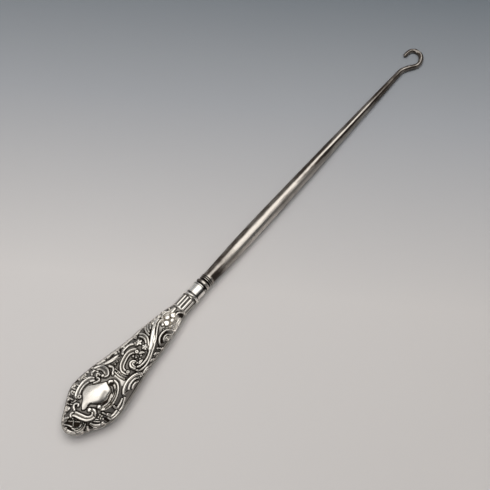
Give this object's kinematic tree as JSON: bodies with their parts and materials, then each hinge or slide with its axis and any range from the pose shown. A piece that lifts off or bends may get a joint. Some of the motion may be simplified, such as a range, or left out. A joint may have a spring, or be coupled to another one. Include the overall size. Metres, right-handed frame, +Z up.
{
  "type": "button hook",
  "caption": "Button hook with a plump stamped silver handle covered in scrollwork, a plain silver collar and a long tapering steel shank that ends in a small bent hook.",
  "frame": {"origin": "middle of the overall box, on the surface that the tool lies on", "axes": "+X from the handle to the hook, +Z up out of the handle's front, +Y to the side of the hook's tip"},
  "size_m": [0.203, 0.0196, 0.0127],
  "materials": {
    "steel": "worn polished steel with a brown-grey patina",
    "stamped_silver": "polished silver with dark oxidised hollows",
    "plain_silver": "polished silver with fine scratches",
    "solder": "filed silver solder",
    "resin": "dark resin filling"
  },
  "bodies": {
    "root": {"steel_shank": "steel", "steel_hook": "steel", "front_shell": "stamped_silver", "back_shell": "stamped_silver", "seam_solder": "solder", "mouth_ring": "plain_silver", "collar": "plain_silver", "resin_core": "resin"}
  },
  "joints": []
}
